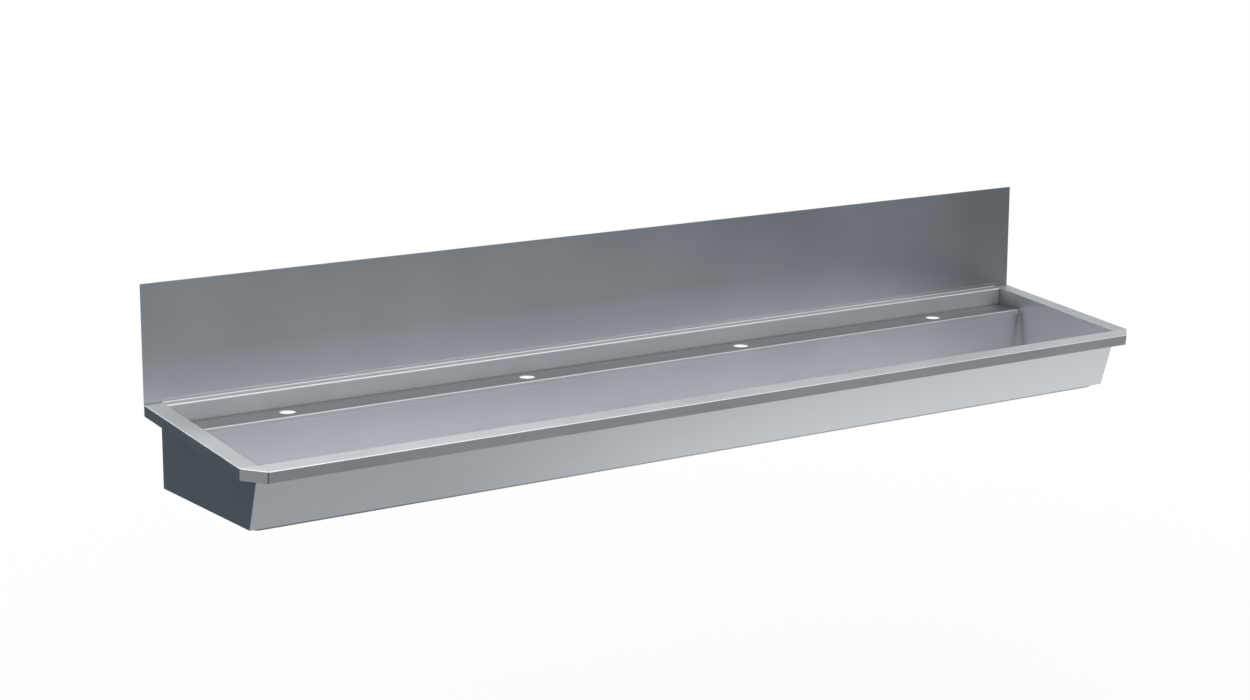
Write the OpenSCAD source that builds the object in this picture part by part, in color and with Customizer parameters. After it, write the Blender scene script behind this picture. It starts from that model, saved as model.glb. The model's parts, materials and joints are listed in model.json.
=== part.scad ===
// Wall-hung wash trough of stainless sheet: a coved bowl under a rim that falls
// towards the user, a tap ledge with round tap holes, and a plain splashback.
// Origin: on the wall face, at mid length, level with the rim's front top edge.
// +X runs along the trough, +Y into the wall, +Z up.

/* [Overall] */
// Length of the rim and the splashback
length = 2400; // [2200:50:3000]
// Depth from the wall to the rim's front edge
depth = 468; // [440:1:560]
// Angle at which the rim falls towards the front, in degrees
rim_slope = 5.8; // [3:0.1:7]
// Height of the splashback's top edge above the rim's front edge
splash_top = 300; // [200:5:500]

/* [Sheet] */
// Thickness of the bowl, ledge, rim and splashback
sheet_t = 1.2; // [0.9:0.1:2]
// Thickness of the front panel
front_panel_t = 1; // [0.8:0.1:1.5]
// Thickness of the end panels
end_panel_t = 1.5; // [1:0.1:2.5]
// Inside radius of the folds in thin sheet
fold_r = 2.5; // [1.5:0.1:4]

/* [Rim] */
// Width of the rim at the front and both ends
rim_w = 41; // [34:1:60]
// Height of the turned-down edge
rim_drop = 25; // [20:1:32]
// Width of the return under the turned-down edge
rim_return = 9; // [7:1:12]
// Inside radius of the rim's folds, which are crisp
rim_fold_r = 0.6; // [0.5:0.1:2]

/* [Bowl] */
// Drop from the rim's front edge to the bowl's floor at the front
bowl_drop = 145; // [130:1:220]
// Fall of the floor from front to back
floor_fall = 4; // [2:0.5:8]
// Lean of the front wall from upright, in degrees
front_lean = 17.4; // [10:0.1:22]
// Radius of the coved corners at the floor
cove_r = 30; // [20:1:35]
// Radius of the corners at the top of the coves
top_cove_r = 2; // [1:0.5:6]
// Length of the pressed end welded to each end of the channel
bowl_end_l = 60; // [50:1:90]

/* [Outer panels] */
// Drop from the rim's front edge to the foot of the panels
panel_drop = 136; // [110:1:136]
// Width of the end panels' flange along the wall
wall_flange_w = 20; // [14:1:30]
// Length of that flange up the wall
wall_flange_h = 80; // [60:1:85]

/* [Tap ledge] */
// Height of the ledge above the rim's front edge
ledge_z = 4; // [0:0.5:6]
// Width of the ledge from front to back
ledge_w = 76; // [70:1:110]
// Width of the rim strip behind the ledge
rear_rim_w = 19; // [17:0.5:30]
// Depth of the ledge's front fold over the bowl's back wall
ledge_turn_down = 12; // [9:1:20]
// Height of the ledge's upstand below the splashback
ledge_upstand = 8; // [7:1:14]
// Diameter of a tap hole
tap_hole_d = 35; // [22:1:38]
// Distance between tap holes
tap_pitch = 600; // [500:10:650]
// Number of tap holes
tap_count = 4; // [2:1:4]

/* [Waste] */
// Place of the waste along the trough, from the middle
waste_x = 0; // [-150:10:150]
// Distance of the waste from the wall
waste_from_wall = 178; // [160:1:200]
// Radius of the dish pressed round the waste
dish_r = 46; // [44:1:50]
// Depth of that dish
dish_depth = 5; // [4:0.5:8]
// Radius of the hole in the dish
waste_hole_r = 25; // [24.8:0.1:28]
// Radius of the waste's flange
waste_flange_r = 41; // [38:0.5:43]
// Thickness of the waste's flange
waste_flange_t = 3.5; // [3:0.1:5]
// Radius of the strainer
strainer_r = 32; // [28:0.5:34]
// Thickness of the strainer
strainer_t = 1.5; // [1:0.1:1.8]
// Radius of the waste's shank inside the backnut
shank_r = 24.2; // [24:0.05:24.4]
// Radius of the tail that a trap screws on to
tail_r = 23.9; // [23:0.05:23.95]
// Radius of the waterway
waterway_r = 20; // [16:0.5:21]
// Length of the tail below the shank
tail_l = 18; // [12:1:24]
// Thickness of the seal under the flange
flange_seal_t = 1.5; // [1:0.1:2.5]
// Thickness of the seal under the bowl
under_seal_t = 3; // [2:0.5:4]
// Thickness of the washer on the backnut
nut_washer_t = 1.5; // [1:0.1:2]
// Height of the backnut
backnut_h = 9; // [7:0.5:12]
// Width of the backnut across its flats
backnut_af = 60; // [57:1:64]

/* [Wall fixings] */
// Thickness of the hangers
hanger_t = 3; // [2:0.5:3]
// Width of a hanger
hanger_w = 160; // [120:5:200]
// Distance between hangers
hanger_pitch = 600; // [560:10:700]
// Reach of a hanger below the rim's front edge
hanger_drop = 62; // [50:1:66]
// Length of a hanger's front lip
hanger_lip = 14; // [10:1:20]
// Distance between the two holes in a hanger
hanger_hole_pitch = 100; // [60:5:110]
// Drop of those holes below the rim's front edge
hanger_hole_drop = 32; // [28:1:36]
// Diameter of every wall fixing hole
fixing_hole_d = 9; // [7:0.5:11]
// Height of the lower rail's leg on the wall
rail_leg_h = 40; // [30:1:46]
// Width of the lower rail's level leg
rail_leg_w = 30; // [20:1:40]
// Thickness of the lower rail
rail_t = 2; // [1.5:0.1:3]
// Distance from each end of the rail to its outer hole
rail_hole_inset = 160; // [80:5:240]
// Distance between the rail's two inner holes
rail_inner_pitch = 700; // [400:10:900]

/* [Hidden parts] */
// Width of the stiffener under the front rim
stiffener_w = 26; // [20:1:28]
// Height of that stiffener
stiffener_h = 17; // [10:1:18]
// Thickness of that stiffener
stiffener_t = 1.5; // [1:0.1:2]
// Length of a sound pad
pad_l = 760; // [400:10:800]
// Width of a sound pad
pad_w = 180; // [120:5:190]
// Thickness of a sound pad
pad_t = 3; // [2:0.5:5]
// Diameter of the earth stud
earth_d = 6; // [5:0.5:8]
// Length of the earth stud
earth_l = 20; // [18:1:26]

/* [Hidden] */
$fn = 64;

// Steel as it looks under soft light, galvanised steel, rubber and brass
satin = "#b4bbc0";
shade = "#8d959c";
galvanised = "#a9aeb0";
rubber = "#2b2c2e";
pad_grey = "#6c6875";
brass = "#b59a55";

// Overrun of every cut past the face that it opens
over = 1;
// Gap where two pieces pass each other without touching
gap = 0.3;
// Radial gap of a nut, washer or seal round its shank
slip = 0.1;
// Steps in one fold, and round the corner balls of the bowl
function fold_steps(r) = max(8, ceil(r * 4 / 5));
cove_fn = 48;

// Ends of the bowl's inside, and of the panels round it
bowl_half = length / 2 - rim_w;
end_panel_in = bowl_half + sheet_t;
end_panel_out = end_panel_in + end_panel_t;

// The rim's sloping plane: its height over any place, and its underside's
function rim_z(y) = (y + depth) * tan(rim_slope);
rim_under = sheet_t / cos(rim_slope);
function rim_under_z(y) = rim_z(y) - rim_under;

// Front to back: splashback's face, ledge's back wall, ledge's front, the bowl's front edge
splash_face = -sheet_t;
ledge_back = splash_face - rear_rim_w;
ledge_front = ledge_back - ledge_w;
bowl_front = -depth + rim_w * cos(rim_slope);
bowl_front_z = rim_w * sin(rim_slope);
bowl_back_z = ledge_z - ledge_turn_down;

// Inner face of the leaning front wall at a height, and the same moved outwards
function front_in(z) = bowl_front + (bowl_front_z - z) * tan(front_lean);
function front_out(z, t) = front_in(z) - t / cos(front_lean);

// The floor's fall
cove_front = front_in(cove_r - bowl_drop) + cove_r / cos(front_lean);
cove_back = ledge_front - cove_r;
fall_angle = atan(floor_fall / (cove_back - cove_front));
function floor_z(y) = -bowl_drop - (y - cove_front) * tan(fall_angle);

// Levels at the waste
waste_y = -waste_from_wall;
dish_z = floor_z(waste_y) - dish_depth;
flange_z = dish_z + flange_seal_t;
under_z = dish_z - sheet_t;
washer_z = under_z - under_seal_t;
nut_z = washer_z - nut_washer_t;
shank_end_z = nut_z - backnut_h;
tail_end_z = shank_end_z - tail_l;

// Folded sheet
// A strip of sheet of thickness t along a path of corners, lying to the left of it,
// with round folds of inside radius r
function unit(v) = v / norm(v);
function left_of(v) = [-v[1], v[0]];
function turn(u, v) = atan2(u[0] * v[1] - u[1] * v[0], u * v);
function turned(u, a) = [u[0] * cos(a) - u[1] * sin(a), u[0] * sin(a) + u[1] * cos(a)];
function fold_points(p, u, v, t, r, side) =
    let (
        a = turn(u, v),
        s = sign(a),
        face_r = s > 0 ? r + t : r,
        start = p - u * face_r * tan(abs(a) / 2),
        centre = start + left_of(u) * face_r * s
    )
    [for (i = [0:fold_steps(r)]) centre - left_of(turned(u, a * i / fold_steps(r))) * (face_r * s - side)];
function strip_side(path, t, r, side) =
    let (n = len(path) - 1, first = unit(path[1] - path[0]), last = unit(path[n] - path[n - 1]))
    concat(
        [path[0] + left_of(first) * side],
        [for (i = [1:1:n - 1], q = fold_points(
            path[i], unit(path[i] - path[i - 1]), unit(path[i + 1] - path[i]), t, r, side)) q],
        [path[n] + left_of(last) * side]
    );
function reversed(list) = [for (i = [len(list) - 1:-1:0]) list[i]];
module strip(path, t, r) {
    polygon(concat(strip_side(path, t, r, 0), reversed(strip_side(path, t, r, t))));
}

// Extrudes an outline drawn in Y and Z along X, centred
module along_x(l) {
    rotate([90, 0, 90]) linear_extrude(height = l, center = true) children();
}

// Sinks an outline drawn in X and Z into +Y
module along_y(l) {
    translate([0, l, 0]) rotate([90, 0, 0]) linear_extrude(height = l) children();
}

// Both ends of a piece that the other end mirrors
module other_end() {
    mirror([1, 0, 0]) children();
}

// Rim
// The rim is drawn level, with its front top edge on Y = 0, and then laid on its slope
module on_slope() {
    translate([0, -depth, 0]) rotate([rim_slope, 0, 0]) children();
}

rim_path = [[rim_w, 0], [0, 0], [0, -rim_drop], [rim_return, -rim_drop]];
corner_h = rim_w / sqrt(2);
corner_path = [[corner_h, 0], [0, 0], [0, -rim_drop], [rim_return, -rim_drop]];
rim_run = (depth + over) / cos(rim_slope);

module front_rim() {
    color(satin) on_slope() along_x(2 * bowl_half) strip(rim_path, sheet_t, rim_fold_r);
}

// The end rim stops at the splashback's face
module end_rim() {
    intersection() {
        on_slope() translate([-length / 2, rim_w, 0]) along_y(rim_run) strip(rim_path, sheet_t, rim_fold_r);
        translate([-length, -2 * depth, -rim_drop - over])
            cube([length, 2 * depth - sheet_t, 2 * splash_top]);
    }
}

// The corner's turned-down edge crosses the corner at 45 degrees
module corner() {
    on_slope() intersection() {
        translate([-length / 2 + corner_h * sin(45), corner_h * sin(45), 0]) rotate([90, 0, 45])
            linear_extrude(height = 2 * rim_w, center = true) strip(corner_path, sheet_t, rim_fold_r);
        translate([0, 0, -rim_drop - over]) linear_extrude(height = rim_drop + 2 * over)
            polygon([[-length / 2, rim_w], [-bowl_half, 0], [-bowl_half, rim_w]]);
    }
}

module left_rim() {
    color(satin) end_rim();
}

module right_rim() {
    color(satin) other_end() end_rim();
}

module left_corner() {
    color(satin) corner();
}

module right_corner() {
    color(satin) other_end() corner();
}

// Bowl
// A long channel folded from one sheet, with a pressed end welded to each end of it
wall_top_z = 2 * rim_z(0);
seam_x = bowl_half - bowl_end_l;
floor_front =
    (bowl_front + (bowl_front_z + bowl_drop - cove_front * tan(fall_angle)) * tan(front_lean))
    / (1 - tan(fall_angle) * tan(front_lean));
channel_path = [
    [ledge_front, bowl_back_z],
    [ledge_front, floor_z(ledge_front)],
    [floor_front, floor_z(floor_front)],
    [front_in(wall_top_z), wall_top_z]
];

module above_rim() {
    on_slope() translate([-length, -depth, -sheet_t]) cube([2 * length, 3 * depth, 2 * splash_top]);
}

module at_waste(z) {
    translate([waste_x, waste_y, z]) children();
}

module bowl_channel() {
    color(satin) difference() {
        union() {
            along_x(2 * seam_x) strip(channel_path, sheet_t, cove_r);
            at_waste(under_z) cylinder(r = dish_r + sheet_t, h = dish_depth + sheet_t);
        }
        above_rim();
        at_waste(dish_z) cylinder(r = dish_r, h = dish_depth + over);
        at_waste(under_z - over) cylinder(r = waste_hole_r, h = sheet_t + 2 * over);
    }
}

// The pressed ends are the two ends of one body with a ball in each corner:
// large at the floor, small at the top of the coves
module corner_balls(r, y, z, grow) {
    for (side = [-1, 1]) translate([side * (bowl_half - r), y, z]) sphere(r = r + grow, $fn = cove_fn);
}

module coved_body(grow) {
    top = bowl_back_z;
    hull() {
        corner_balls(cove_r, cove_front, floor_z(cove_front) + cove_r, grow);
        corner_balls(cove_r, cove_back, floor_z(cove_back) + cove_r, grow);
        corner_balls(top_cove_r, front_in(top) + top_cove_r / cos(front_lean), top, grow);
        corner_balls(top_cove_r, ledge_front - top_cove_r, top, grow);
    }
}

// Above the coves the walls are flat, and the end wall runs back past the ledge
module upper_walls() {
    cheek_back = ledge_back + sheet_t;
    along_x(2 * end_panel_in) polygon([
        [front_out(bowl_back_z, sheet_t), bowl_back_z],
        [front_out(wall_top_z, sheet_t), wall_top_z],
        [cheek_back, wall_top_z],
        [cheek_back, ledge_z - sheet_t],
        [ledge_front + sheet_t, ledge_z - sheet_t],
        [ledge_front + sheet_t, bowl_back_z]
    ]);
}

module upper_room() {
    room_back = ledge_back + sheet_t + over;
    along_x(2 * bowl_half) polygon([
        [front_in(bowl_back_z - over), bowl_back_z - over],
        [front_in(wall_top_z), wall_top_z + over],
        [room_back, wall_top_z + over],
        [room_back, bowl_back_z],
        [ledge_front, bowl_back_z],
        [ledge_front, bowl_back_z - over]
    ]);
}

module bowl_end() {
    difference() {
        intersection() {
            union() {
                difference() {
                    coved_body(sheet_t);
                    coved_body(0);
                    translate([-length, -2 * depth, bowl_back_z]) cube([2 * length, 3 * depth, splash_top]);
                }
                upper_walls();
            }
            translate([-length, -2 * depth, -splash_top]) cube([length - seam_x, 3 * depth, 2 * splash_top]);
        }
        upper_room();
        above_rim();
    }
}

module left_bowl_end() {
    color(satin) bowl_end();
}

module right_bowl_end() {
    color(satin) other_end() bowl_end();
}

// Tap ledge
// A level sheet whose front is folded down over the channel's back wall
ledge_path = [
    [ledge_back + sheet_t, ledge_z],
    [ledge_front, ledge_z],
    [ledge_front, bowl_back_z]
];
tap_y = ledge_back - ledge_w / 2;

module tap_ledge() {
    color(satin) difference() {
        along_x(2 * bowl_half) strip(ledge_path, sheet_t, fold_r);
        for (i = [0:tap_count - 1])
            translate([(i - (tap_count - 1) / 2) * tap_pitch, tap_y, ledge_z - sheet_t - over])
                cylinder(d = tap_hole_d, h = sheet_t + 2 * over);
    }
}

// Rear rim
// Its upstand carries the splashback, and its inner wall stands on the ledge
rear_rim_path = [
    [splash_face, rim_z(splash_face) + ledge_upstand],
    [splash_face, rim_z(splash_face)],
    [ledge_back, rim_z(ledge_back)],
    [ledge_back, ledge_z]
];

module rear_rim() {
    color(satin) along_x(2 * bowl_half) strip(rear_rim_path, sheet_t, fold_r);
}

// Splashback
// A flat sheet on the wall; beside the ledge it comes down behind the end rims
module splashback() {
    foot = rim_z(splash_face) + ledge_upstand;
    color(satin) translate([0, splash_face, 0]) along_y(sheet_t) polygon([
        [-length / 2, splash_top],
        [length / 2, splash_top],
        [length / 2, rim_under_z(0)],
        [bowl_half, rim_under_z(0)],
        [bowl_half, foot],
        [-bowl_half, foot],
        [-bowl_half, rim_under_z(0)],
        [-length / 2, rim_under_z(0)]
    ]);
}

// Outer panels
module front_panel() {
    inner = sheet_t;
    outer = sheet_t + front_panel_t;
    color(satin) difference() {
        along_x(2 * end_panel_in) polygon([
            [front_out(-panel_drop, outer), -panel_drop],
            [front_out(wall_top_z, outer), wall_top_z],
            [front_out(wall_top_z, inner), wall_top_z],
            [front_out(-panel_drop, inner), -panel_drop]
        ]);
        above_rim();
    }
}

module end_panel() {
    outer = sheet_t + front_panel_t;
    difference() {
        union() {
            translate([-end_panel_out + end_panel_t / 2, 0, 0]) along_x(end_panel_t) polygon([
                [front_out(-panel_drop, outer), -panel_drop],
                [front_out(wall_top_z, outer), wall_top_z],
                [0, wall_top_z],
                [0, -panel_drop]
            ]);
            translate([-end_panel_out, -end_panel_t, -panel_drop + rail_leg_h + end_panel_t])
                cube([wall_flange_w, end_panel_t, wall_flange_h]);
        }
        above_rim();
    }
}

module left_end_panel() {
    color(shade) end_panel();
}

module right_end_panel() {
    color(shade) other_end() end_panel();
}

// Hidden stiffener and rail
module front_rim_stiffener() {
    mid = rim_w / 2;
    path = [
        [mid + stiffener_w / 2, -sheet_t - stiffener_h],
        [mid + stiffener_w / 2, -sheet_t],
        [mid - stiffener_w / 2, -sheet_t],
        [mid - stiffener_w / 2, -sheet_t - stiffener_h]
    ];
    color(galvanised) on_slope() along_x(2 * bowl_half - 2 * gap) strip(path, stiffener_t, fold_r);
}

module wall_hole(x, z, t) {
    translate([x, -t - over, z]) rotate([-90, 0, 0]) cylinder(d = fixing_hole_d, h = t + 2 * over);
}

module lower_wall_rail() {
    outer_x = end_panel_in - rail_hole_inset;
    hole_z = -panel_drop + rail_leg_h / 2 + rail_t / 2;
    path = [[0, rail_leg_h - panel_drop], [0, -panel_drop], [-rail_leg_w, -panel_drop]];
    color(galvanised) difference() {
        along_x(2 * end_panel_in) strip(reversed(path), rail_t, fold_r);
        for (x = [-outer_x, -rail_inner_pitch / 2, rail_inner_pitch / 2, outer_x])
            wall_hole(x, hole_z, rail_t);
    }
}

// Hangers
// The rim strip behind the ledge drops over the top of each hanger
module hanger(x) {
    lip_y = ledge_back + sheet_t + gap;
    path = [
        [0, -hanger_drop],
        [0, rim_under_z(0)],
        [lip_y, rim_under_z(lip_y)],
        [lip_y, rim_under_z(lip_y) - hanger_lip]
    ];
    color(galvanised) translate([x, 0, 0]) difference() {
        along_x(hanger_w) strip(path, hanger_t, fold_r);
        for (side = [-1, 1]) wall_hole(side * hanger_hole_pitch / 2, -hanger_hole_drop, hanger_t);
    }
}

module left_hanger() {
    hanger(-hanger_pitch);
}

module centre_hanger() {
    hanger(0);
}

module right_hanger() {
    hanger(hanger_pitch);
}

// Waste
module ring(r_out, r_in, h) {
    difference() {
        cylinder(r = r_out, h = h);
        translate([0, 0, -over]) cylinder(r = r_in, h = h + 2 * over);
    }
}

spider_w = 6;
spider_h = 5;
spider_hub_r = 7;
screw_d = 5;
screw_l = 12;
screw_head_d = 10;
screw_head_h = 2.5;
slot_w = 1.2;
slot_depth = 1.3;
strainer_seat_z = flange_z + waste_flange_t - strainer_t;

// Flange, cup and threaded tail in one, with a spider that takes the strainer's screw
module waste_body() {
    spider_top = strainer_seat_z - screw_head_h;
    color(satin) at_waste(0) difference() {
        union() {
            difference() {
                union() {
                    translate([0, 0, flange_z]) cylinder(r = waste_flange_r, h = waste_flange_t);
                    translate([0, 0, shank_end_z]) cylinder(r = shank_r, h = flange_z - shank_end_z);
                    translate([0, 0, tail_end_z]) cylinder(r = tail_r, h = tail_l);
                }
                translate([0, 0, strainer_seat_z]) cylinder(r = strainer_r + slip, h = waste_flange_t);
                translate([0, 0, tail_end_z - over])
                    cylinder(r = waterway_r, h = strainer_seat_z - tail_end_z + 2 * over);
            }
            translate([0, 0, spider_top - spider_h]) {
                for (a = [0, 90]) rotate([0, 0, a])
                    translate([-waterway_r - over, -spider_w / 2, 0])
                        cube([2 * (waterway_r + over), spider_w, spider_h]);
                cylinder(r = spider_hub_r, h = spider_h);
            }
        }
        translate([0, 0, spider_top - spider_h - over]) cylinder(d = screw_d + 2 * slip, h = screw_l);
    }
}

// Round plate with three rings of drain holes
strainer_hole_d = 4.5;
strainer_ring_shares = [0.36, 0.58, 0.8];
strainer_ring_counts = [8, 14, 20];
module strainer() {
    color(satin) at_waste(strainer_seat_z) difference() {
        cylinder(r = strainer_r, h = strainer_t);
        translate([0, 0, -over]) {
            cylinder(d = screw_d + 2 * slip, h = strainer_t + 2 * over);
            for (k = [0:len(strainer_ring_shares) - 1], i = [0:strainer_ring_counts[k] - 1])
                rotate([0, 0, i * 360 / strainer_ring_counts[k]])
                    translate([strainer_ring_shares[k] * strainer_r, 0, 0])
                        cylinder(d = strainer_hole_d, h = strainer_t + 2 * over);
        }
    }
}

module strainer_screw() {
    color(satin) at_waste(strainer_seat_z + strainer_t) {
        difference() {
            cylinder(d = screw_head_d, h = screw_head_h);
            translate([-screw_head_d, -slot_w / 2, screw_head_h - slot_depth])
                cube([2 * screw_head_d, slot_w, screw_head_h]);
        }
        translate([0, 0, -screw_l]) cylinder(d = screw_d, h = screw_l);
    }
}

module flange_seal() {
    color(rubber) at_waste(dish_z) ring(waste_flange_r - gap, shank_r + slip, flange_seal_t);
}

module under_seal() {
    color(rubber) at_waste(washer_z) ring(backnut_af / 2, shank_r + slip, under_seal_t);
}

module nut_washer() {
    color(galvanised) at_waste(nut_z) ring(backnut_af / 2, shank_r + slip, nut_washer_t);
}

module backnut() {
    color(brass) at_waste(shank_end_z) difference() {
        cylinder(d = backnut_af / cos(30), h = backnut_h, $fn = 6);
        translate([0, 0, -over]) cylinder(r = shank_r + slip, h = backnut_h + 2 * over);
    }
}

// Sound pads
// Each lies on the underside of the floor, which falls towards the wall
pad_clear = 60;
module sound_pad(side) {
    mid_y = (cove_front + cove_back) / 2;
    mid_x = waste_x + side * (dish_r + pad_clear + pad_l / 2);
    color(pad_grey) translate([mid_x, mid_y, floor_z(mid_y) - sheet_t]) rotate([-fall_angle, 0, 0])
        translate([-pad_l / 2, -pad_w / 2, -pad_t]) cube([pad_l, pad_w, pad_t]);
}

module left_sound_pad() {
    sound_pad(-1);
}

module right_sound_pad() {
    sound_pad(1);
}

// Earth stud
// Stands on the bowl's back wall near the left end, under the ledge
earth_from_end = 90;
earth_drop = 60;
earth_washer_d = 14;
earth_washer_t = 1.2;
earth_nut_af = 10;
earth_nut_h = 5;
module at_earth(y) {
    translate([-bowl_half + earth_from_end, ledge_front + sheet_t + y, -earth_drop]) rotate([-90, 0, 0]) children();
}

module earth_stud() {
    color(satin) at_earth(0) cylinder(d = earth_d, h = earth_l);
}

module earth_washer() {
    color(brass) at_earth(earth_nut_h) ring(earth_washer_d / 2, earth_d / 2 + slip, earth_washer_t);
}

module earth_nut(y) {
    at_earth(y) difference() {
        cylinder(d = earth_nut_af / cos(30), h = earth_nut_h, $fn = 6);
        translate([0, 0, -over]) cylinder(d = earth_d + 2 * slip, h = earth_nut_h + 2 * over);
    }
}

module earth_nuts() {
    color(brass) {
        earth_nut(0);
        earth_nut(earth_nut_h + earth_washer_t);
    }
}

bowl_channel();
left_bowl_end();
right_bowl_end();
tap_ledge();
rear_rim();
splashback();
front_rim();
left_rim();
right_rim();
left_corner();
right_corner();
front_panel();
left_end_panel();
right_end_panel();
front_rim_stiffener();
lower_wall_rail();
left_hanger();
centre_hanger();
right_hanger();
waste_body();
strainer();
strainer_screw();
flange_seal();
under_seal();
nut_washer();
backnut();
left_sound_pad();
right_sound_pad();
earth_stud();
earth_washer();
earth_nuts();
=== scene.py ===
"""Looks of a wall-hung wash trough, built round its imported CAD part.

The trough is satin stainless sheet, brushed along its length. Its wall fixings are galvanised,
its nuts are brass, and its seals and sound pads are rubber. All places are in metres, in the
part's own frame: X along the trough, Y into the wall, Z up from the rim's front edge.
"""

import json
import logging
import math
from dataclasses import dataclass
from enum import Enum

import bmesh
import bpy
from mathutils import Matrix, Vector


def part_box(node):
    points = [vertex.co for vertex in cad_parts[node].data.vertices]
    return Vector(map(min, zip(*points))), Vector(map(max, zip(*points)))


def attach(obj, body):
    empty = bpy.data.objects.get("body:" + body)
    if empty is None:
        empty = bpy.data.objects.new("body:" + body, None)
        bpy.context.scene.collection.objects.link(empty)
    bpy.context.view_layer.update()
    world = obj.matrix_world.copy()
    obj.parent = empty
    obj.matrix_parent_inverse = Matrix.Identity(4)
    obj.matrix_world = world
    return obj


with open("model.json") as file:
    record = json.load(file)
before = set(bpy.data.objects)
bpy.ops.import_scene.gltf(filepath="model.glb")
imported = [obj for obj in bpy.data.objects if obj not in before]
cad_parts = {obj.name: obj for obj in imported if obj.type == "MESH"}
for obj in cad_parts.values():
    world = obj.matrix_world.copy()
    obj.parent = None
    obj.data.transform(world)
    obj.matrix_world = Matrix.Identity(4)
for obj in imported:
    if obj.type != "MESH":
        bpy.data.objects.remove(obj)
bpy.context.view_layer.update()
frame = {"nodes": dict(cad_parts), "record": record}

LOG = logging.getLogger("trough")
BODY = "root"
MM = 0.001

Colour = tuple[float, float, float, float]
Triple = tuple[float, float, float]
Span = tuple[float, float]
Socket = bpy.types.NodeSocket

WHITE: Colour = (1.0, 1.0, 1.0, 1.0)
FULL_SPAN: Span = (0.0, 1.0)
# Where most of a noise's values lie, and those of two noises added up
NOISE_SPAN: Span = (0.3, 0.7)
TWO_NOISES_SPAN: Span = (0.7, 1.3)


class Grain(Enum):
    """Direction in which a sheet is brushed, as the stretch of its grain along X, Y and Z."""

    ALONG = (1.2, 420.0, 420.0)
    FRONT_TO_BACK = (420.0, 1.2, 420.0)
    TURNED = (160.0, 160.0, 160.0)


class Ray(Enum):
    """Kind of ray that meets a surface, by its name in the Light Path node."""

    CAMERA = "Is Camera Ray"
    CLEAR = "Is Transmission Ray"
    MIRRORED = "Is Glossy Ray"


def grey(level: float, cast: float = 0.0) -> Colour:
    """Gives a grey, bluish for a negative cast and yellowish for a positive one.

    Args:
        level: How light the grey is, from 0 to 1, in linear light.
        cast: How far red and blue move apart, as a share of the level.

    Returns:
        The colour with full cover.
    """
    return (level * (1 + cast), level, level * (1 - cast), 1.0)


def shaded(colour: Colour, factor: float) -> Colour:
    """Gives a colour that is lighter or darker by a factor, at most white."""
    return tuple(min(1.0, c * factor) for c in colour[:3]) + (1.0,)


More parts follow.
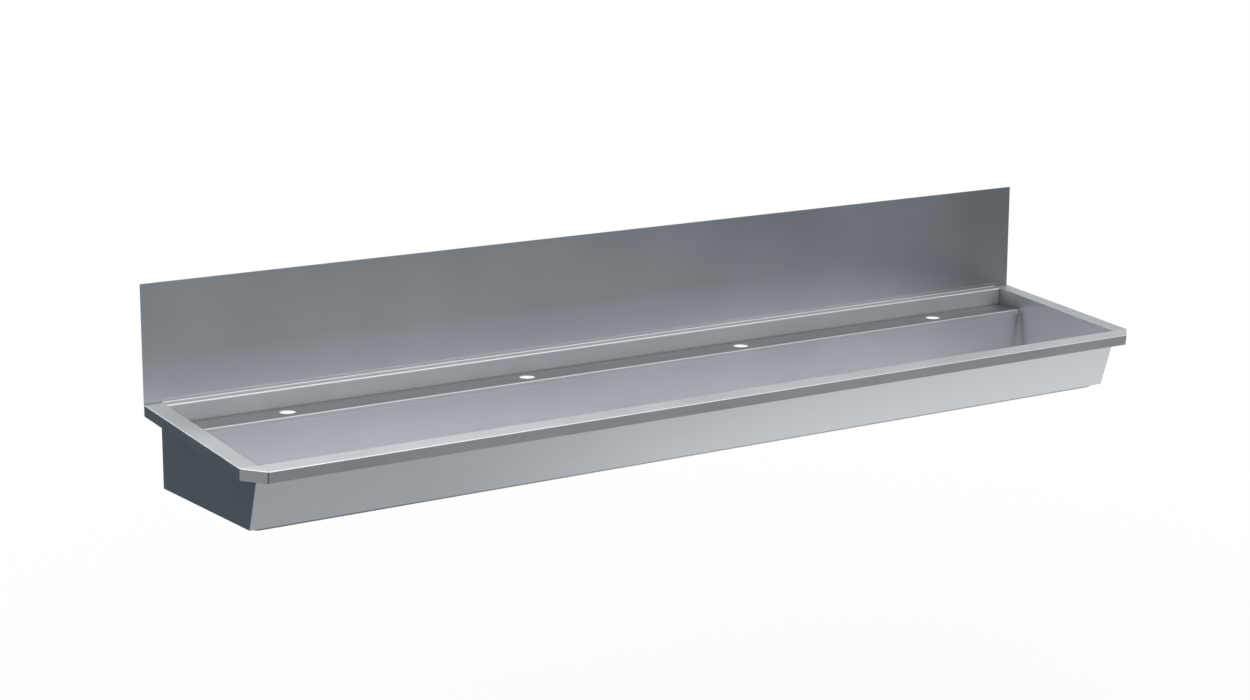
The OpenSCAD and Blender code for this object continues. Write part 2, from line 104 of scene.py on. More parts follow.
class Graph:
    """The nodes of one material or world, with short ways to add and join them."""

    BEVEL_SAMPLES = 4
    # Cosines between the rounded and the plain normal, on a sharp edge and away from it
    EDGE_SPAN: Span = (0.8, 0.99)
    NOOK_SAMPLES = 6
    # Shares of open space round a point, deep in an inner corner and away from it
    NOOK_SPAN: Span = (0.5, 0.8)

    def __init__(self, tree: bpy.types.NodeTree) -> None:
        """Empties the tree.

        Args:
            tree: The material's or the world's nodes.
        """
        self.tree = tree
        self.tree.nodes.clear()

    def add(self, kind: str, inputs: dict | None = None, **settings: object) -> bpy.types.Node:
        """Adds a node.

        Args:
            kind: The node's type.
            inputs: Values or sockets for its inputs, by name or number.
            **settings: The node's own settings.

        Returns:
            The new node.
        """
        node = self.tree.nodes.new(kind)
        for name, value in settings.items():
            setattr(node, name, value)
        for name, value in (inputs or {}).items():
            if isinstance(value, Socket):
                self.tree.links.new(value, node.inputs[name])
            else:
                node.inputs[name].default_value = value
        return node

    def place(self, stretch: Triple = (1.0, 1.0, 1.0)) -> Socket:
        """Gives the part's own coordinates, stretched.

        Args:
            stretch: Factors along X, Y and Z.

        Returns:
            The stretched place.
        """
        where = self.add("ShaderNodeTexCoord").outputs["Object"]
        return self.vector("MULTIPLY", where, stretch).outputs[0]

    def normal(self) -> Socket:
        """Gives the way that the surface faces."""
        return self.add("ShaderNodeNewGeometry").outputs["Normal"]

    def ray(self, kind: Ray) -> Socket:
        """Gives 1 for a ray of one kind and 0 for any other."""
        return self.add("ShaderNodeLightPath").outputs[kind.value]

    def noise(self, place: Socket, scale: float, detail: float = 3.0) -> Socket:
        """Gives noise from 0 to 1.

        Args:
            place: Where the noise is read.
            scale: Its fineness.
            detail: How many finer layers it has.

        Returns:
            The noise's value.
        """
        settings = {"Vector": place, "Scale": scale, "Detail": detail}
        return self.add("ShaderNodeTexNoise", settings).outputs["Fac"]

    def fit(self, value: Socket, low: float, high: float, source: Span = NOISE_SPAN) -> Socket:
        """Maps a value to a new range.

        Args:
            value: What is mapped.
            low: Result at the start of the source range.
            high: Result at its end.
            source: The range that is mapped.

        Returns:
            The mapped value.
        """
        start, end = source
        ends = {"From Min": start, "From Max": end, "To Min": low, "To Max": high}
        return self.add("ShaderNodeMapRange", {"Value": value, **ends}).outputs["Result"]

    def rise(self, value: Socket, source: Span = NOISE_SPAN) -> Socket:
        """Gives 0 up to the start of a range and 1 from its end on."""
        return self.fit(value, 0.0, 1.0, source)

    def vector(self, operation: str, a: Socket, b: Socket | Vector | Triple) -> bpy.types.Node:
        """Adds a node that works on two vectors."""
        return self.add("ShaderNodeVectorMath", {0: a, 1: b}, operation=operation)

    def split(self, vector: Socket) -> dict[str, Socket]:
        """Gives a vector's parts by the names X, Y and Z."""
        outputs = self.add("ShaderNodeSeparateXYZ", {0: vector}).outputs
        return {axis: outputs[axis] for axis in "XYZ"}

    def dot(self, a: Socket, b: Socket | Vector | Triple) -> Socket:
        """Gives the dot product of two vectors."""
        return self.vector("DOT_PRODUCT", a, b).outputs["Value"]

    def length(self, a: Socket) -> Socket:
        """Gives a vector's length."""
        return self.add("ShaderNodeVectorMath", {0: a}, operation="LENGTH").outputs["Value"]

    def value(self, operation: str, a: Socket, b: Socket | float) -> Socket:
        """Adds a node that works on two values and gives its result."""
        return self.add("ShaderNodeMath", {0: a, 1: b}, operation=operation).outputs[0]

    def times(self, a: Socket, b: Socket | float) -> Socket:
        """Gives the product of two values."""
        return self.value("MULTIPLY", a, b)

    def plus(self, a: Socket, b: Socket | float) -> Socket:
        """Gives the sum of two values."""
        return self.value("ADD", a, b)

    def minus(self, a: Socket, b: Socket | float) -> Socket:
        """Gives the difference of two values."""
        return self.value("SUBTRACT", a, b)

    def larger(self, a: Socket, b: Socket | float) -> Socket:
        """Gives the larger of two values."""
        return self.value("MAXIMUM", a, b)

    def smaller(self, a: Socket, b: Socket | float) -> Socket:
        """Gives the smaller of two values."""
        return self.value("MINIMUM", a, b)

    def size(self, a: Socket) -> Socket:
        """Gives a value without its sign."""
        return self.add("ShaderNodeMath", {0: a}, operation="ABSOLUTE").outputs[0]

    def mixed(self, share: Socket, a: Socket | Colour, b: Socket | Colour) -> Socket:
        """Gives a colour between two others."""
        return self.add("ShaderNodeMix", {0: share, 6: a, 7: b}, data_type="RGBA").outputs[2]

    def blended(self, share: Socket, a: bpy.types.Node, b: bpy.types.Node) -> bpy.types.Node:
        """Adds a shader between two others."""
        return self.add("ShaderNodeMixShader", {0: share, 1: a.outputs[0], 2: b.outputs[0]})

    def edges(self, radius: float) -> tuple[Socket, Socket]:
        """Rounds the folds and edges of a sheet.

        Args:
            radius: The rounding's radius, in metres.

        Returns:
            The rounded normal, and a value that is 1 on sharp edges and 0 away from them.
        """
        rounded = self.add("ShaderNodeBevel", {"Radius": radius}, samples=self.BEVEL_SAMPLES).outputs[0]
        return rounded, self.fit(self.dot(rounded, self.normal()), 1.0, 0.0, self.EDGE_SPAN)

    def nooks(self, reach: float) -> Socket:
        """Finds the inner corners.

        Args:
            reach: How near another surface has to be, in metres.

        Returns:
            A value that is 1 in an inner corner and 0 on an open surface.
        """
        found = self.add("ShaderNodeAmbientOcclusion", {"Distance": reach}, samples=self.NOOK_SAMPLES)
        return self.fit(found.outputs["AO"], 1.0, 0.0, self.NOOK_SPAN)


@dataclass(frozen=True)
class Finish:
    """What every finish has: a name, a colour and how it scatters light."""

    name: str
    colour: Colour
    roughness: float = 0.4
    metallic: float = 1.0

    def material(self) -> bpy.types.Material:
        """Makes the finish's material where it isn't there already.

        Returns:
            The material.
        """
        made = bpy.data.materials.get(self.name)
        if made is None:
            made = bpy.data.materials.new(self.name)
            made.use_nodes = True
            graph = Graph(made.node_tree)
            shader = graph.add("ShaderNodeBsdfPrincipled", {"Metallic": self.metallic})
            self.dress(graph, shader)
            graph.add("ShaderNodeOutputMaterial", {"Surface": shader.outputs[0]})
        return made

    def dress(self, graph: Graph, shader: bpy.types.Node) -> None:
        """Joins colour, roughness and relief to the shader. Each finish has its own.

        Args:
            graph: The material's nodes.
            shader: Its shader.
        """
        raise NotImplementedError

    def join(
        self,
        graph: Graph,
        shader: bpy.types.Node,
        colour: Socket,
        roughness: Socket,
        relief: Socket,
        depth: float,
        rounded: Socket | None = None,
    ) -> None:
        """Joins the three to the shader.

        Args:
            graph: The material's nodes.
            shader: Its shader.
            colour: The surface's colour.
            roughness: Its roughness.
            relief: Its height, from 0 to 1.
            depth: What a height of 1 is, in metres.
            rounded: The normal that the relief is laid on, where it isn't the mesh's own.
        """
        links = graph.tree.links
        bump = graph.add("ShaderNodeBump", {"Height": relief, "Distance": depth, "Strength": 1.0})
        if rounded is not None:
            links.new(rounded, bump.inputs["Normal"])
        links.new(colour, shader.inputs["Base Color"])
        links.new(roughness, shader.inputs["Roughness"])
        links.new(bump.outputs[0], shader.inputs["Normal"])


@dataclass(frozen=True)
class BrushedSteel(Finish):
    """Stainless sheet with fine parallel brush lines, faint handling marks and painted edge highlights.

    Each tone is a factor on the colour in some places, and paints light or shade there. Faces that
    look up get painted shade on some sheets and painted light on others, and faces that look down
    get painted shade. Coves between two walls and the sheet's right end from a height upwards get
    painted shade, and long folds between a top and a front get a painted highlight. A sheet can get
    painted light at its foot. Inner corners hold a fine line of painted shade, and a welded mitre
    has a dark seam line, which is given by its distance from mid length.
    """

    roughness: float = 0.42
    grain: Grain = Grain.ALONG
    contrast: float = 0.05
    grain_depth: float = 0.02 * MM
    fold_r: float = 0.8 * MM
    # Factor of painted light (above 1) or painted shade (below 1) on faces that look up
    painted_top_shading: float = 1.0
    # Factor of painted shade on faces that look down
    painted_underside_shade: float = 1.0
    # Share of painted light added at a sheet's foot, between the heights below
    painted_foot_light: float = 0.0
    painted_foot_heights: Span = (20 * MM, 150 * MM)
    # Factor of painted shade in coves between two walls
    painted_cove_shade: float = 1.0
    # Factor of painted highlight on long folds between a top and a front
    painted_fold_highlight: float = 1.0
    # Factor of painted shade at the sheet's right end, above a height
    painted_end_shade: float = 1.0
    end_span: Span = (800 * MM, 1080 * MM)
    end_above: float = 0.0
    # Reach and strength of the line of painted shade in inner corners
    corner_shade_reach: float = 8 * MM
    corner_shade_share: float = 0.75
    mitre_x: float = 0.0
    mitre_w: float = 1.8 * MM
    mitre_share: float = 0.9

    # The brush lines and the handling marks
    LINE_SCALE = 3.0
    LINE_DETAIL = 6.0
    MARK_SCALE = 5.0
    # How far they change the roughness, and how much smoother an edge is worn
    ROUGH_DROP = 0.03
    ROUGH_GAIN = 0.04
    EDGE_WEAR = 0.12
    # The painted highlight's tone on edges, the dark tone of seams and of the painted shade in inner
    # corners, and how far an edge takes on its highlight
    EDGE_HIGHLIGHT_TONE = 1.8
    EDGE_HIGHLIGHT_SHARE = 0.9
    SEAM_AND_SHADE_TONE = 0.35
    # How far a surface is turned where a tone or a mitre's line sets in and where it is full
    UP_SPAN = (0.6, 0.95)
    DOWN_SPAN = (-0.35, -0.6)
    COVE_SPAN = (0.03, 0.35)
    FOLD_SPAN = (-0.14, -0.35)
    FRONT_SPAN = (-0.6, -0.5)

    def dress(self, graph: Graph, shader: bpy.types.Node) -> None:
        """Joins the brush lines, the marks, the tones and the edges.

        Args:
            graph: The material's nodes.
            shader: Its shader.
        """
        lines = graph.noise(graph.place(self.grain.value), self.LINE_SCALE, self.LINE_DETAIL)
        marks = graph.noise(graph.place(), self.MARK_SCALE)
        shade = graph.plus(lines, marks)
        rounded, edge = graph.edges(self.fold_r)
        at, facing = graph.split(graph.place()), graph.split(graph.normal())
        dark, light = shaded(self.colour, 1 - self.contrast), shaded(self.colour, 1 + self.contrast)
        sheet = graph.mixed(graph.rise(shade, TWO_NOISES_SPAN), dark, light)
        sheet = self.toned(graph, sheet, at, facing)
        edge_highlight, seam_and_shade = shaded(self.colour, self.EDGE_HIGHLIGHT_TONE), shaded(self.colour, self.SEAM_AND_SHADE_TONE)
        # Painted highlight on edges, then lines of painted shade in inner corners and dark seam lines on
        # mitres
        colour = graph.mixed(graph.times(edge, self.EDGE_HIGHLIGHT_SHARE), sheet, edge_highlight)
        colour = graph.mixed(self.seams_and_corner_shade(graph, at, facing), colour, seam_and_shade)
        smooth, coarse = self.roughness - self.ROUGH_DROP, self.roughness + self.ROUGH_GAIN
        rough = graph.fit(shade, smooth, coarse, TWO_NOISES_SPAN)
        worn = graph.minus(rough, graph.times(edge, self.EDGE_WEAR))
        self.join(graph, shader, colour, worn, lines, self.grain_depth, rounded)

    def toned(self, graph: Graph, sheet: Socket, at: dict[str, Socket], facing: dict[str, Socket]) -> Socket:
        """Lays each painted light and shade over the sheet where it belongs.

        Args:
            graph: The material's nodes.
            sheet: The plain sheet's colour.
            at: The place, by axis.
            facing: The way that the surface faces, by axis.

        Returns:
            The colour with its painted light and shade.
        """
        coved = graph.size(graph.times(facing["X"], facing["Y"]))
        folded = graph.times(facing["Y"], facing["Z"])
        for tone, where, span in (
            (1 + self.painted_foot_light, at["Z"], self.painted_foot_heights[::-1]),
            (self.painted_top_shading, facing["Z"], self.UP_SPAN),
            (self.painted_underside_shade, facing["Z"], self.DOWN_SPAN),
            (self.painted_cove_shade, coved, self.COVE_SPAN),
            (self.painted_fold_highlight, folded, self.FOLD_SPAN),
        ):
            if tone != 1.0:
                sheet = graph.mixed(graph.rise(where, span), sheet, shaded(self.colour, tone))
        # Painted shade over the sheet's right end, above a height
        if self.painted_end_shade != 1.0:
            above = graph.rise(at["Z"], (self.end_above, self.end_above + MM))
            end = graph.times(graph.rise(at["X"], self.end_span), above)
            sheet = graph.mixed(end, sheet, shaded(self.colour, self.painted_end_shade))
        return sheet

    def seams_and_corner_shade(self, graph: Graph, at: dict[str, Socket], facing: dict[str, Socket]) -> Socket:
        """Finds the lines of painted shade in inner corners, and the dark seam lines where the front rim is
        welded to its corners.

        Args:
            graph: The material's nodes.
            at: The place, by axis.
            facing: The way that the surface faces, by axis.

        Returns:
            How strong the line is, from 0 away from the seams to nearly 1 on a mitre.
        """
        # Painted shade in inner corners
        line = graph.times(graph.nooks(self.corner_shade_reach), self.corner_shade_share)
        if not self.mitre_x:
            return line
        away = graph.size(graph.minus(graph.size(at["X"]), self.mitre_x))
        near = graph.fit(away, self.mitre_share, 0.0, (self.mitre_w / 2, self.mitre_w))
        on_front = graph.fit(facing["Y"], 1.0, 0.0, self.FRONT_SPAN)
        return graph.larger(line, graph.times(near, on_front))


@dataclass(frozen=True)
class Galvanised(Finish):
    """Zinc-coated steel: dull, with a faint spangle and cloudy patches."""

    spangle_scale: float = 110.0
    cloud_scale: float = 14.0
    dull_tone: float = 0.82
    dull_span: Span = (0.1, 0.5)
    rough_spread: float = 0.08
    relief: float = 0.05 * MM

    def dress(self, graph: Graph, shader: bpy.types.Node) -> None:
        """Joins the spangle and the clouds.

        Args:
            graph: The material's nodes.
            shader: Its shader.
        """
        where = graph.place()
        cells = graph.add("ShaderNodeTexVoronoi", {"Vector": where, "Scale": self.spangle_scale})
        spangle = graph.add("ShaderNodeSeparateColor", {0: cells.outputs["Color"]}).outputs[0]
        clouds = graph.noise(where, self.cloud_scale)
        share = graph.rise(graph.times(spangle, clouds), self.dull_span)
        colour = graph.mixed(share, shaded(self.colour, self.dull_tone), self.colour)
        smooth, coarse = self.roughness - self.rough_spread, self.roughness + self.rough_spread
        rough = graph.fit(spangle, smooth, coarse, FULL_SPAN)
        self.join(graph, shader, colour, rough, clouds, self.relief)


@dataclass(frozen=True)
class Rubber(Finish):
    """Moulded rubber or damping felt: matt, with a fine tooth and a little dust."""

    metallic: float = 0.0
    tooth: float = 900.0
    tooth_depth: float = 0.1 * MM
    dust_scale: float = 25.0
    dust_tone: float = 1.3
    dust_light: float = 0.01
    rough_spread: float = 0.08

    def dress(self, graph: Graph, shader: bpy.types.Node) -> None:
        """Joins the tooth and the dust.

        Args:
            graph: The material's nodes.
            shader: Its shader.
        """
        where = graph.place()
        fine = graph.noise(where, self.tooth)
        dust = graph.noise(where, self.dust_scale)
        dusty = tuple(min(1.0, c * self.dust_tone + self.dust_light) for c in self.colour[:3]) + (1.0,)
        colour = graph.mixed(graph.rise(dust), self.colour, dusty)
        rough = graph.fit(fine, self.roughness - self.rough_spread, self.roughness + self.rough_spread)
        self.join(graph, shader, colour, rough, fine, self.tooth_depth)


@dataclass(frozen=True)
class Brass(Finish):
    """Machined brass with turning marks and slight tarnish."""

    mark_stretch: Triple = (90.0, 90.0, 2600.0)
    mark_scale: float = 1.0
    mark_detail: float = 4.0
    mark_depth: float = 0.03 * MM
    tarnish_scale: float = 60.0
    tarnish_span: Span = (0.45, 0.75)
    tarnish_share: float = 0.7
    tarnish: Triple = (0.7, 0.62, 0.5)
    rough_drop: float = 0.05
    rough_gain: float = 0.08

    def dress(self, graph: Graph, shader: bpy.types.Node) -> None:
        """Joins the turning marks and the tarnish.

        Args:
            graph: The material's nodes.
            shader: Its shader.
        """
        marks = graph.noise(graph.place(self.mark_stretch), self.mark_scale, self.mark_detail)
        patches = graph.noise(graph.place(), self.tarnish_scale)
        brown = tuple(c * share for c, share in zip(self.colour[:3], self.tarnish)) + (1.0,)
        share = graph.fit(patches, 0.0, self.tarnish_share, self.tarnish_span)
        colour = graph.mixed(share, self.colour, brown)
        rough = graph.fit(marks, self.roughness - self.rough_drop, self.roughness + self.rough_gain)
        self.join(graph, shader, colour, rough, marks, self.mark_depth)


# Each finish with the nodes that have it
Dressing = tuple[tuple[Finish, tuple[str, ...]], ...]

# Bluish cast of satin sheet, and the splashback's level with the painted light that its foot gains
STEEL_CAST = -0.03
SPLASH_LEVEL = 0.64
SPLASH_FOOT_LIGHT = 0.47

# Bowl: painted shade on faces that look down, in its coves and in its inner corners
BOWL = BrushedSteel("bowl_sheet", grey(0.74, STEEL_CAST), painted_underside_shade=0.45, painted_cove_shade=0.66, corner_shade_reach=50 * MM)
# Splashback: painted light at its foot and painted shade at its right end
SPLASH = BrushedSteel("splash_sheet", grey(SPLASH_LEVEL, STEEL_CAST), painted_foot_light=SPLASH_FOOT_LIGHT, painted_end_shade=0.78)
# The rear rim is as light as the splashback's foot with its painted light, and its top and right end get
# painted shade
REAR_RIM = BrushedSteel(
    "rear_rim_sheet",
    grey(SPLASH_LEVEL * (1 + SPLASH_FOOT_LIGHT), STEEL_CAST),
    fold_r=1.2 * MM,
    painted_top_shading=0.55,
    painted_end_shade=0.53,
    end_above=48 * MM,
)
# Rim: painted highlight on the fold between its top and its front
RIM = BrushedSteel("rim_sheet", grey(0.65, STEEL_CAST), painted_fold_highlight=1.5, mitre_x=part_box("front_rim")[1].x)
# End rims: a darker grey for painted shade, with painted light on their tops
RIM_ENDS = BrushedSteel(
    "end_rim_sheet", grey(0.50, STEEL_CAST), 0.36, grain=Grain.FRONT_TO_BACK, fold_r=2.6 * MM, painted_top_shading=1.3
)
PANEL = BrushedSteel("panel_sheet", grey(0.70, -0.035), 0.34)
# Ledge: painted shade on its level top
LEDGE = BrushedSteel("ledge_sheet", grey(0.74, STEEL_CAST), painted_top_shading=0.39)
# End panels: a darker grey for painted shade
END_PANEL = BrushedSteel("end_panel_sheet", grey(0.50, -0.04), 0.36, grain=Grain.FRONT_TO_BACK)
TURNED = BrushedSteel("turned_stainless", grey(0.60, -0.02), 0.24, grain=Grain.TURNED, contrast=0.03)
WELD = BrushedSteel("weld_metal", grey(0.44, 0.04), 0.4, grain=Grain.TURNED, contrast=0.15)
ZINC = Galvanised("galvanised_steel", grey(0.50, -0.02), 0.46)
SEAL = Rubber("black_rubber", grey(0.018), 0.62)
PAD = Rubber("damping_pad", grey(0.10, -0.03), 0.85, tooth=300.0)
BRASS = Brass("machined_brass", (0.62, 0.43, 0.17, 1.0), 0.3)


def frame_mount(name: str) -> dict:
    """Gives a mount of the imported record."""
    return next(mount for mount in frame["record"]["mounts"] if mount["name"] == name)


def dress_node(node: str, finish: Finish) -> None:
    """Gives a CAD node its finish.

    Args:
        node: The node's name.
        finish: What it is finished in.
    """
    piece = frame["nodes"][node]
    if not piece.material_slots:
        piece.data.materials.append(finish.material())
    for slot in piece.material_slots:
        slot.material = finish.material()
    LOG.info("%s: %s", node, finish.name)


def add_piece(name: str, bm: bmesh.types.BMesh, finish: Finish) -> None:
    """Makes a piece from a mesh and lets it ride on the trough.

    Args:
        name: The piece's name.
        bm: Its mesh, which is freed.
        finish: What it is finished in.
    """
    mesh = bpy.data.meshes.new(name)
    bmesh.ops.recalc_face_normals(bm, faces=bm.faces)
    bm.to_mesh(mesh)
    bm.free()
    mesh.shade_smooth()
    piece = bpy.data.objects.new(name, mesh)
    bpy.context.scene.collection.objects.link(piece)
    mesh.materials.append(finish.material())
    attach(piece, BODY)
    LOG.info("%s: %d faces", name, len(mesh.polygons))


def skin(bm: bmesh.types.BMesh, rings: list[list[bmesh.types.BMVert]]) -> None:
    """Joins rings of points into one closed tube.

    Args:
        bm: The mesh that holds the points.
        rings: The rings in order, all with the same number of points.
    """
    sides = len(rings[0])
    for a, b in zip(rings, rings[1:]):
        for k in range(sides):
            bm.faces.new((a[k], a[(k + 1) % sides], b[(k + 1) % sides], b[k]))
    bm.faces.new(rings[0])
    bm.faces.new(reversed(rings[-1]))


@dataclass(frozen=True)
class Thread:
    """The ridge of a screw thread round the Z axis, from the origin upwards.

    It is a triangle that is swept along a helix, and it sinks into the root at both ends.
    """

    root_r: float
    pitch: float
    length: float
    height: float
    steps_per_turn: int = 40
    flank_share: float = 0.38
    sunk_share: float = 0.25

    def mesh(self) -> bmesh.types.BMesh:
        """Makes the ridge.

        Returns:
            Its mesh.
        """
        bm = bmesh.new()
        count = int(self.length / self.pitch * self.steps_per_turn)
        foot_r = self.root_r - self.height * self.sunk_share
        flank = self.pitch * self.flank_share
        rings = []
        for i in range(count + 1):
            angle = 2 * math.pi * i / self.steps_per_turn
            rise = self.pitch * i / self.steps_per_turn
            fade = min(1.0, i / self.steps_per_turn, (count - i) / self.steps_per_turn)
            crest_r = self.root_r + self.height * fade
            profile = ((foot_r, rise - flank), (crest_r, rise), (foot_r, rise + flank))
            rings.append([bm.verts.new((r * math.cos(angle), r * math.sin(angle), z)) for r, z in profile])
        skin(bm, rings)
        return bm


@dataclass(frozen=True)
class WeldBead:
    """A rippled weld bead between two points, half sunk in the corner that it fills."""

    start: Vector
    end: Vector
    radius: float
    ripple: float = 1.6 * MM
    ripple_height: float = 0.08
    steps_per_ripple: int = 4
    sides: int = 10
    bluntness: int = 12
    least_taper: float = 0.04

    def mesh(self) -> bmesh.types.BMesh:
        """Makes the bead.

        Returns:
            Its mesh.
        """
        bm = bmesh.new()
        run = self.end - self.start
        turn = run.to_track_quat("Z", "Y").to_matrix()
        count = max(self.steps_per_ripple, int(run.length / self.ripple * self.steps_per_ripple))
        angles = [2 * math.pi * k / self.sides for k in range(self.sides)]
        rings = []
        for i in range(count + 1):
            share = i / count
            swell = 1 + self.ripple_height * math.sin(2 * math.pi * share * run.length / self.ripple)
            taper = math.sqrt(max(self.least_taper, 1 - (2 * abs(share - 0.5)) ** self.bluntness))
            r = self.radius * swell * taper
            centre = self.start + run * share
            rings.append(
                [bm.verts.new(centre + turn @ Vector((r * math.cos(a), r * math.sin(a), 0))) for a in angles]
            )
        skin(bm, rings)
        return bm


@dataclass(frozen=True)
class SubAssembly:
    """A group of CAD nodes with their finishes, and the small pieces that are added to it."""

    finishes: Dressing = ()

    def dress(self) -> None:
        """Gives each node its finish."""
        for finish, nodes in self.finishes:
            for node in nodes:
                dress_node(node, finish)

    def build(self) -> None:
        """Adds the small pieces, where the sub-assembly has any."""


@dataclass(frozen=True)
class SheetWork(SubAssembly):
    """The coved channel, its two pressed ends and the sheets round them."""

    finishes: Dressing = (
        (BOWL, ("bowl_channel", "left_bowl_end", "right_bowl_end")),
        (SPLASH, ("splashback",)),
        (REAR_RIM, ("rear_rim",)),
        (LEDGE, ("tap_ledge",)),
        (RIM, ("front_rim", "left_corner", "right_corner")),
        (RIM_ENDS, ("left_rim", "right_rim")),
        (PANEL, ("front_panel",)),
        (END_PANEL, ("left_end_panel", "right_end_panel")),
    )


@dataclass(frozen=True)
class WallFixings(SubAssembly):
    """The hangers, the lower rail and the stiffener, with the rail's welds.

    A bead has its radius, its middle's distance from the wall in radii, and its foot's height.
    """

    finishes: Dressing = (
        (ZINC, ("left_hanger", "centre_hanger", "right_hanger", "lower_wall_rail", "front_rim_stiffener")),
    )
    bead_r: float = 1.8 * MM
    bead_off_wall: float = 1.1
    bead_foot: float = 4 * MM

    def build(self) -> None:
        """Runs a weld bead where each end of the rail meets an end panel."""
        low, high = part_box("lower_wall_rail")
        y = -self.bead_off_wall * self.bead_r
        for side, x in (("left", low.x), ("right", high.x)):
            start = Vector((x, y, low.z + self.bead_foot))
            bead = WeldBead(start, Vector((x, y, high.z)), self.bead_r)
            add_piece(f"{side}_rail_weld", bead.mesh(), WELD)


@dataclass(frozen=True)
class Waste(SubAssembly):
    """The waste, its strainer, its seals and its nut."""

    finishes: Dressing = (
        (TURNED, ("waste_body", "strainer", "strainer_screw")),
        (SEAL, ("flange_seal", "under_seal")),
        (ZINC, ("nut_washer",)),
        (BRASS, ("backnut",)),
    )
    pitch: float = 2.3 * MM
    thread_height: float = 0.8 * MM

    def build(self) -> None:
        """Cuts the thread that the trap screws on to."""
        low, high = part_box("waste_body")
        nut_low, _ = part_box("backnut")
        length = nut_low.z - low.z - self.pitch
        tail_r = frame_mount("waste_tail")["dims"]["r_mm"] * MM
        ridge = Thread(tail_r, self.pitch, length, self.thread_height).mesh()
        centre = (low + high) / 2
        ridge.transform(Matrix.Translation((centre.x, centre.y, low.z + self.pitch / 2)))
        add_piece("waste_tail_thread", ridge, TURNED)


@dataclass(frozen=True)
class EarthPoint(SubAssembly):
    """The earth stud with its washer and nuts."""

    finishes: Dressing = (
        (TURNED, ("earth_stud",)),
        (BRASS, ("earth_washer", "earth_nuts")),
    )
    pitch: float = 1.0 * MM
    thread_height: float = 0.35 * MM

    def build(self) -> None:
        """Cuts the thread on the stud's free end."""
        low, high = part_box("earth_stud")
        _, nut_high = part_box("earth_nuts")
        root_r = (high.x - low.x) / 2
        length = high.y - nut_high.y - self.pitch
        ridge = Thread(root_r, self.pitch, length, self.thread_height).mesh()
        centre = (low + high) / 2
        ridge.transform(Matrix.Rotation(math.radians(-90), 4, "X"))
        ridge.transform(Matrix.Translation((centre.x, nut_high.y + self.pitch / 2, centre.z)))
        add_piece("earth_stud_thread", ridge, TURNED)


@dataclass(frozen=True)
class SoundPads(SubAssembly):
    """The pads that deaden the floor of the bowl."""

    finishes: Dressing = ((PAD, ("left_sound_pad", "right_sound_pad")),)


def white_share(graph: Graph, camera: Socket | float, mirrored: Socket) -> Socket:
    """Says how far a ray sees plain white, which the camera, clear pieces and metal do.

    Args:
        graph: The nodes of the sky or the floor.
        camera: The share for the camera and for clear pieces.
        mirrored: The share for a ray that metal mirrors.

    Returns:
        The ray's share.
    """
    seen = graph.times(graph.larger(graph.ray(Ray.CAMERA), graph.ray(Ray.CLEAR)), camera)
    return graph.larger(seen, graph.times(graph.ray(Ray.MIRRORED), mirrored))


# Bluish cast of the room that metal mirrors
ROOM_CAST = -0.22


@dataclass(frozen=True)
class Spot:
    """A soft round spot in the sky that metal mirrors.

    It has the way it lies, the levels outside it and at its middle, and the cosines between which
    one turns into the other.
    """

    way: Triple
    outside: float
    middle: float
    cosines: Span

    def level(self, graph: Graph, way: Socket) -> Socket:
        """Gives the spot's level for the way that a ray goes.

        Args:
            graph: The sky's nodes.
            way: Where the ray goes.

        Returns:
            Its level there.
        """
        toward = graph.dot(way, Vector(self.way).normalized())
        return graph.fit(toward, self.outside, self.middle, self.cosines)


@dataclass(frozen=True)
class Sky:
    """The world: white to the camera, and graded where metal mirrors it.

    The mirrored sky darkens to the right and towards the horizon. It has a darker spot at the
    front left, where a room would be dark, and a glow behind the trough.
    """

    axis: Triple = (-0.6, -0.26, 1.0)
    axis_span: Span = (0.0, 0.3)
    horizon_span: Span = (-0.05, 0.35)
    dark: Spot = Spot((-0.7, -0.7, 0.2), 1.0, 0.3, (0.7, 1.0))
    glow: Spot = Spot((0.35, 0.92, 0.15), 0.0, 0.6, (0.5, 1.0))
    plain_light: float = 0.8
    mirrored_light: float = 0.10

    def build(self) -> None:
        """Makes the world."""
        world = bpy.data.worlds.new("studio")
        world.use_nodes = True
        bpy.context.scene.world = world
        graph = Graph(world.node_tree)
        way = graph.add("ShaderNodeTexCoord").outputs["Generated"]
        slanted = graph.rise(graph.dot(way, self.axis), self.axis_span)
        raised = graph.rise(graph.split(way)["Z"], self.horizon_span)
        sky = graph.times(graph.smaller(slanted, raised), self.dark.level(graph, way))
        mirrored = graph.ray(Ray.MIRRORED)
        colour = graph.mixed(mirrored, WHITE, grey(1.0, ROOM_CAST))
        light = graph.fit(mirrored, self.plain_light, self.mirrored_light, FULL_SPAN)
        room = graph.add("ShaderNodeBackground", {"Color": colour, "Strength": light})
        white = graph.add("ShaderNodeBackground", {"Color": WHITE, "Strength": 1.0})
        share = white_share(graph, 1.0, graph.larger(sky, self.glow.level(graph, way)))
        both = graph.blended(share, room, white)
        graph.add("ShaderNodeOutputWorld", {"Surface": both.outputs[0]})


@dataclass(frozen=True)
class Pool:
    """A soft oval pool of light on the floor.

    It has its centre, its radii along X and Y, the share of them that is fully lit, and its light.
    """

    centre: Span
    radii: Span
    full: float
    strength: float

    def level(self, graph: Graph, where: Socket) -> Socket:
        """Gives the pool's light on a place of the floor.

        Args:
            graph: The floor's nodes.
            where: The place.

        Returns:
            Its light, which is 0 outside the pool.
        """
        off = graph.vector("SUBTRACT", where, (*self.centre, 0.0)).outputs[0]
        oval = graph.vector("DIVIDE", off, (*self.radii, 1.0)).outputs[0]
        return graph.fit(graph.length(oval), self.strength, 0.0, (self.full, 1.0))


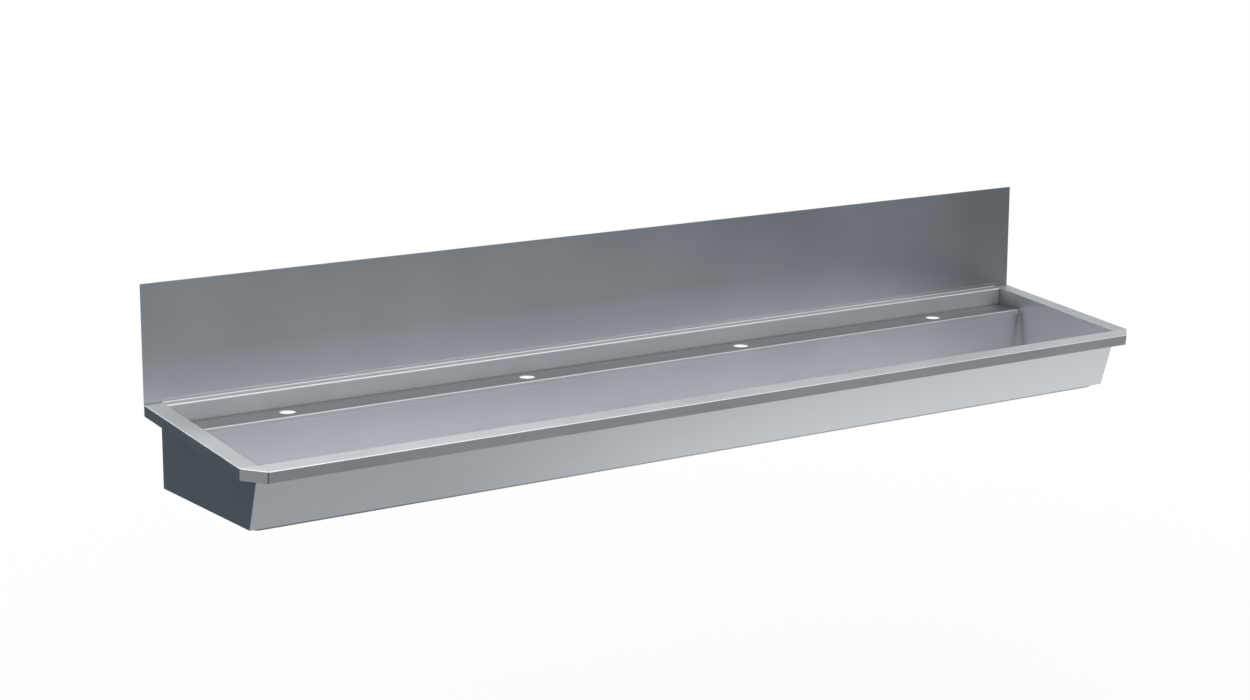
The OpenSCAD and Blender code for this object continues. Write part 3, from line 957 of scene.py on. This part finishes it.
@dataclass(frozen=True)
class Floor:
    """A pale floor under the trough, which keeps its shadow and has soft pools of light.

    Seen from below it is clear, so that the trough's underside shows.
    """

    drop: float = 0.86
    reach: float = 60.0
    tone: float = 0.9
    mirrored_tone: float = 0.12
    white_near: float = 0.88
    shadow_span: Span = (1.2, 3.0)
    pools: tuple[Pool, ...] = (
        Pool((2.9, -0.08), (3.4, 1.86), 0.62, 0.97),
        Pool((-0.4, -0.7), (2.2, 1.5), 0.4, 0.46),
        Pool((1.5, -4.2), (2.2, 2.2), 0.2, 0.75),
        Pool((3.2, 3.2), (4.2, 3.4), 0.3, 0.5),
        Pool((-4.3, -3.1), (2.6, 2.8), 0.4, 1.0),
    )

    def build(self) -> None:
        """Lays the floor."""
        bm = bmesh.new()
        bmesh.ops.create_grid(bm, x_segments=1, y_segments=1, size=self.reach)
        mesh = bpy.data.meshes.new("floor")
        bm.to_mesh(mesh)
        bm.free()
        mesh.materials.append(self.material())
        floor = bpy.data.objects.new("floor", mesh)
        floor.location.z = -self.drop
        bpy.context.scene.collection.objects.link(floor)

    def material(self) -> bpy.types.Material:
        """Makes the floor's material.

        Returns:
            The material.
        """
        material = bpy.data.materials.new("pale_floor")
        material.use_nodes = True
        graph = Graph(material.node_tree)
        where = graph.place()
        lit = self.pools[0].level(graph, where)
        for pool in self.pools[1:]:
            lit = graph.plus(lit, pool.level(graph, where))
        colour = graph.mixed(graph.ray(Ray.MIRRORED), grey(self.tone), grey(self.mirrored_tone, ROOM_CAST))
        matt = graph.add("ShaderNodeBsdfDiffuse", {"Color": colour})
        white = graph.add("ShaderNodeEmission", {"Color": WHITE, "Strength": 1.0})
        camera = graph.fit(graph.length(where), self.white_near, 1.0, self.shadow_span)
        both = graph.blended(white_share(graph, camera, lit), matt, white)
        below = graph.add("ShaderNodeNewGeometry").outputs["Backfacing"]
        whole = graph.blended(below, both, graph.add("ShaderNodeBsdfTransparent"))
        graph.add("ShaderNodeOutputMaterial", {"Surface": whole.outputs[0]})
        return material


@dataclass(frozen=True)
class SoftBox:
    """A soft light with its place, what it points at, its size and its power."""

    name: str
    place: Triple
    target: Triple
    size: Span
    power: float

    def build(self) -> None:
        """Hangs the light, hidden from the camera itself."""
        data = bpy.data.lights.new(self.name, "AREA")
        data.shape = "RECTANGLE"
        data.size, data.size_y = self.size
        data.energy = self.power
        light = bpy.data.objects.new(self.name, data)
        light.location = self.place
        light.rotation_mode = "QUATERNION"
        light.rotation_quaternion = (Vector(self.target) - Vector(self.place)).to_track_quat("-Z", "Y")
        light.visible_camera = False
        bpy.context.scene.collection.objects.link(light)


@dataclass(frozen=True)
class BroadLight:
    """A broad, even light from above and behind, which leaves the ledge in shade."""

    source: Triple = (0.2, 0.5, 0.84)
    angle: float = 30.0
    energy: float = 0.5

    def build(self) -> None:
        """Adds the light."""
        data = bpy.data.lights.new("broad_light", "SUN")
        data.energy = self.energy
        data.angle = math.radians(self.angle)
        light = bpy.data.objects.new("broad_light", data)
        light.rotation_mode = "QUATERNION"
        light.rotation_quaternion = (-Vector(self.source)).to_track_quat("-Z", "Y")
        bpy.context.scene.collection.objects.link(light)


@dataclass(frozen=True)
class Viewpoint:
    """Where the photograph was taken from, with the camera's angles in degrees and its lens.

    They come from fitting the part's own edges to the photograph's, with no lens shift.
    """

    place: Triple = (-3.4458, -4.9133, 1.3014)
    heading: float = -35.10
    looks_down: float = 12.06
    roll: float = 0.217
    lens: float = 76.52
    sensor: float = 36.0
    clip: Span = (0.1, 200.0)

    def build(self) -> None:
        """Stands the scene's camera there."""
        data = bpy.data.cameras.new("camera")
        data.sensor_width = self.sensor
        data.lens = self.lens
        data.clip_start, data.clip_end = self.clip
        camera = bpy.data.objects.new("camera", data)
        camera.matrix_world = (
            Matrix.Translation(self.place)
            @ Matrix.Rotation(math.radians(self.heading), 4, "Z")
            @ Matrix.Rotation(math.radians(90 - self.looks_down), 4, "X")
            @ Matrix.Rotation(math.radians(self.roll), 4, "Z")
        )
        bpy.context.scene.collection.objects.link(camera)
        bpy.context.scene.camera = camera


@dataclass(frozen=True)
class Studio:
    """The sky, the floor, the lights and the camera."""

    sky: Sky = Sky()
    floor: Floor = Floor()
    broad_light: BroadLight = BroadLight()
    top_light: SoftBox = SoftBox("top_light", (0.3, -1.0, 2.4), (0, -0.3, 0), (3.6, 1.6), 8.0)
    edge_light: SoftBox = SoftBox("edge_light", (-1.7, 2.6, 1.6), (-1.2, -0.2, 0), (1.6, 0.8), 9.0)
    viewpoint: Viewpoint = Viewpoint()

    def build(self) -> None:
        """Sets up the whole studio."""
        for item in (
            self.sky, self.floor, self.broad_light, self.top_light, self.edge_light, self.viewpoint
        ):
            item.build()


def main() -> None:
    """Builds the studio, then dresses and completes every sub-assembly in order."""
    logging.basicConfig(level=logging.INFO, format="%(message)s")
    bpy.context.scene.view_settings.view_transform = "Standard"
    Studio().build()
    for part in (SheetWork(), WallFixings(), Waste(), EarthPoint(), SoundPads()):
        part.dress()
        part.build()


if __name__ == "__main__":
    main()
